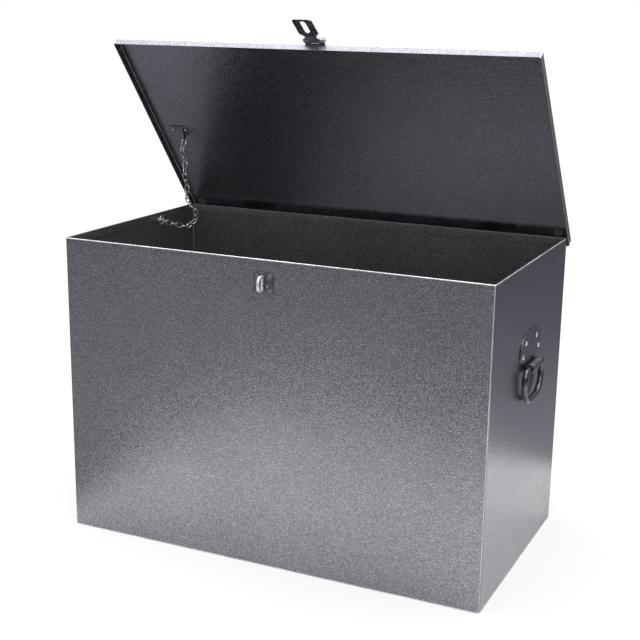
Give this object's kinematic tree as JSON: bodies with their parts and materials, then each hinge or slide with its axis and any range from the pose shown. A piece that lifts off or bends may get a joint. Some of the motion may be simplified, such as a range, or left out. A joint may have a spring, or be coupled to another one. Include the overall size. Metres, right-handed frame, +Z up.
{
  "type": "jobsite storage box",
  "caption": "Folded sheet-steel storage box with a rear-hinged lid, throw-over hasp and staple, slack stay chain and drop handles on its ends.",
  "frame": {"origin": "middle of the underside of the case, on the ground", "axes": "front of the case towards -Y, its right-hand end towards +X, +Z up; the lid is hinged along the rear"},
  "size_m": [0.8406, 0.4906, 0.946],
  "materials": {
    "hammertone_paint": "grey hammertone enamel, semi-gloss",
    "dark_steel": "dark gun-metal, semi-gloss",
    "bright_zinc": "bright zinc plate",
    "dark_plastic": "satin black plastic"
  },
  "bodies": {
    "case": {"case_shell": "hammertone_paint", "back_panel": "hammertone_paint", "floor_pan": "hammertone_paint", "staple_plate": "dark_steel", "staple_loop": "bright_zinc", "chain_stud": "bright_zinc", "staple_rivet_1": "dark_steel", "staple_rivet_2": "dark_steel", "staple_rivet_3": "dark_steel", "staple_rivet_4": "dark_steel", "hinge_left_body_leaf": "hammertone_paint", "hinge_left_pin": "bright_zinc", "handle_left_plate": "dark_steel", "hinge_left_body_rivet_1": "hammertone_paint", "hinge_left_body_rivet_2": "hammertone_paint", "handle_left_rivet_1": "bright_zinc", "handle_left_rivet_2": "bright_zinc", "handle_left_rivet_3": "bright_zinc", "handle_left_rivet_4": "bright_zinc", "hinge_right_body_leaf": "hammertone_paint", "hinge_right_pin": "bright_zinc", "handle_right_plate": "dark_steel", "hinge_right_body_rivet_1": "hammertone_paint", "hinge_right_body_rivet_2": "hammertone_paint", "handle_right_rivet_1": "bright_zinc", "handle_right_rivet_2": "bright_zinc", "handle_right_rivet_3": "bright_zinc", "handle_right_rivet_4": "bright_zinc"},
    "lid": {"lid_pan": "hammertone_paint", "hasp_base": "dark_steel", "hasp_pin": "bright_zinc", "chain_bracket": "dark_steel", "lid_plug_left": "dark_plastic", "lid_plug_right": "dark_plastic", "hasp_rivet_1": "dark_steel", "hasp_rivet_2": "dark_steel", "chain_bracket_rivet_1": "bright_zinc", "chain_bracket_rivet_2": "bright_zinc", "hinge_left_lid_leaf": "hammertone_paint", "hinge_left_lid_rivet_1": "hammertone_paint", "hinge_left_lid_rivet_2": "hammertone_paint", "hinge_right_lid_leaf": "hammertone_paint", "hinge_right_lid_rivet_1": "hammertone_paint", "hinge_right_lid_rivet_2": "hammertone_paint"},
    "hasp_arm": {"hasp_arm": "dark_steel"},
    "bail_left": {"handle_left_bail": "dark_steel"},
    "bail_right": {"handle_right_bail": "dark_steel"},
    "chain_01": {"chain_links_01": "bright_zinc"},
    "chain_02": {"chain_links_02": "bright_zinc"},
    "chain_03": {"chain_links_03": "bright_zinc"},
    "chain_04": {"chain_links_04": "bright_zinc"},
    "chain_05": {"chain_links_05": "bright_zinc"},
    "chain_06": {"chain_links_06": "bright_zinc"},
    "chain_07": {"chain_links_07": "bright_zinc"},
    "chain_08": {"chain_links_08": "bright_zinc"},
    "chain_09": {"chain_links_09": "bright_zinc"},
    "chain_10": {"chain_links_10": "bright_zinc", "chain_links_11": "bright_zinc", "chain_links_12": "bright_zinc"}
  },
  "joints": [
    {"name": "lid_hinge", "type": "hinge", "parent": "case", "child": "lid", "pos_m": [0, 0.22505, 0.535], "axis": [-1, 0, 0], "range_deg": [-51.5, 52.5]},
    {"name": "hasp_hinge", "type": "hinge", "parent": "lid", "child": "hasp_arm", "pos_m": [0.0025, -0.03932, 0.90961], "axis": [-1, 0, 0], "range_deg": [-75, 105]},
    {"name": "bail_left_hinge", "type": "hinge", "parent": "case", "child": "bail_left", "pos_m": [-0.4118, 0, 0.371], "axis": [0, 1, 0], "range_deg": [0, 90]},
    {"name": "bail_right_hinge", "type": "hinge", "parent": "case", "child": "bail_right", "pos_m": [0.4118, 0, 0.371], "axis": [0, -1, 0], "range_deg": [0, 90]},
    {"name": "chain_pivot_01", "type": "hinge", "parent": "lid", "child": "chain_01", "pos_m": [-0.349, 0.10665, 0.7073], "axis": [-1, 0, 0], "range_deg": [-39.88, 39.12]},
    {"name": "chain_pivot_02", "type": "hinge", "parent": "chain_01", "child": "chain_02", "pos_m": [-0.35, 0.09561, 0.68362], "axis": [-1, 0, 0], "range_deg": [-52.52, 53.52]},
    {"name": "chain_pivot_03", "type": "hinge", "parent": "chain_02", "child": "chain_03", "pos_m": [-0.351, 0.11022, 0.66196], "axis": [-1, 0, 0], "range_deg": [-28.85, 28.31]},
    {"name": "chain_pivot_04", "type": "hinge", "parent": "chain_03", "child": "chain_04", "pos_m": [-0.352, 0.10794, 0.63592], "axis": [-1, 0, 0], "range_deg": [-24.7, 25.17]},
    {"name": "chain_pivot_05", "type": "hinge", "parent": "chain_04", "child": "chain_05", "pos_m": [-0.353, 0.1198, 0.61264], "axis": [-1, 0, 0], "range_deg": [-19.93, 19.55]},
    {"name": "chain_pivot_06", "type": "hinge", "parent": "chain_05", "child": "chain_06", "pos_m": [-0.354, 0.1198, 0.58651], "axis": [-1, 0, 0], "range_deg": [-25.73, 26.22]},
    {"name": "chain_pivot_07", "type": "hinge", "parent": "chain_06", "child": "chain_07", "pos_m": [-0.356, 0.13656, 0.56654], "axis": [-1, 0, 0], "range_deg": [-11.83, 12.05]},
    {"name": "chain_pivot_08", "type": "hinge", "parent": "chain_07", "child": "chain_08", "pos_m": [-0.359, 0.16082, 0.55723], "axis": [-1, 0, 0], "range_deg": [-31.47, 30.88]},
    {"name": "chain_pivot_09", "type": "hinge", "parent": "chain_08", "child": "chain_09", "pos_m": [-0.363, 0.17091, 0.53344], "axis": [-1, 0, 0], "range_deg": [-48.27, 47.37]},
    {"name": "chain_pivot_10", "type": "hinge", "parent": "chain_09", "child": "chain_10", "pos_m": [-0.371, 0.14957, 0.52062], "axis": [-1, 0, 0], "range_deg": [-24.12, 23.68]}
  ],
  "couplings": [
    {"joint": "chain_pivot_01", "follows": "lid_hinge", "ratio": -0.75},
    {"joint": "chain_pivot_02", "follows": "lid_hinge", "ratio": 1.01},
    {"joint": "chain_pivot_03", "follows": "lid_hinge", "ratio": -0.54},
    {"joint": "chain_pivot_04", "follows": "lid_hinge", "ratio": 0.47},
    {"joint": "chain_pivot_05", "follows": "lid_hinge", "ratio": -0.37},
    {"joint": "chain_pivot_06", "follows": "lid_hinge", "ratio": 0.49},
    {"joint": "chain_pivot_07", "follows": "lid_hinge", "ratio": 0.22},
    {"joint": "chain_pivot_08", "follows": "lid_hinge", "ratio": -0.59},
    {"joint": "chain_pivot_09", "follows": "lid_hinge", "ratio": -0.91},
    {"joint": "chain_pivot_10", "follows": "lid_hinge", "ratio": -0.45}
  ]
}
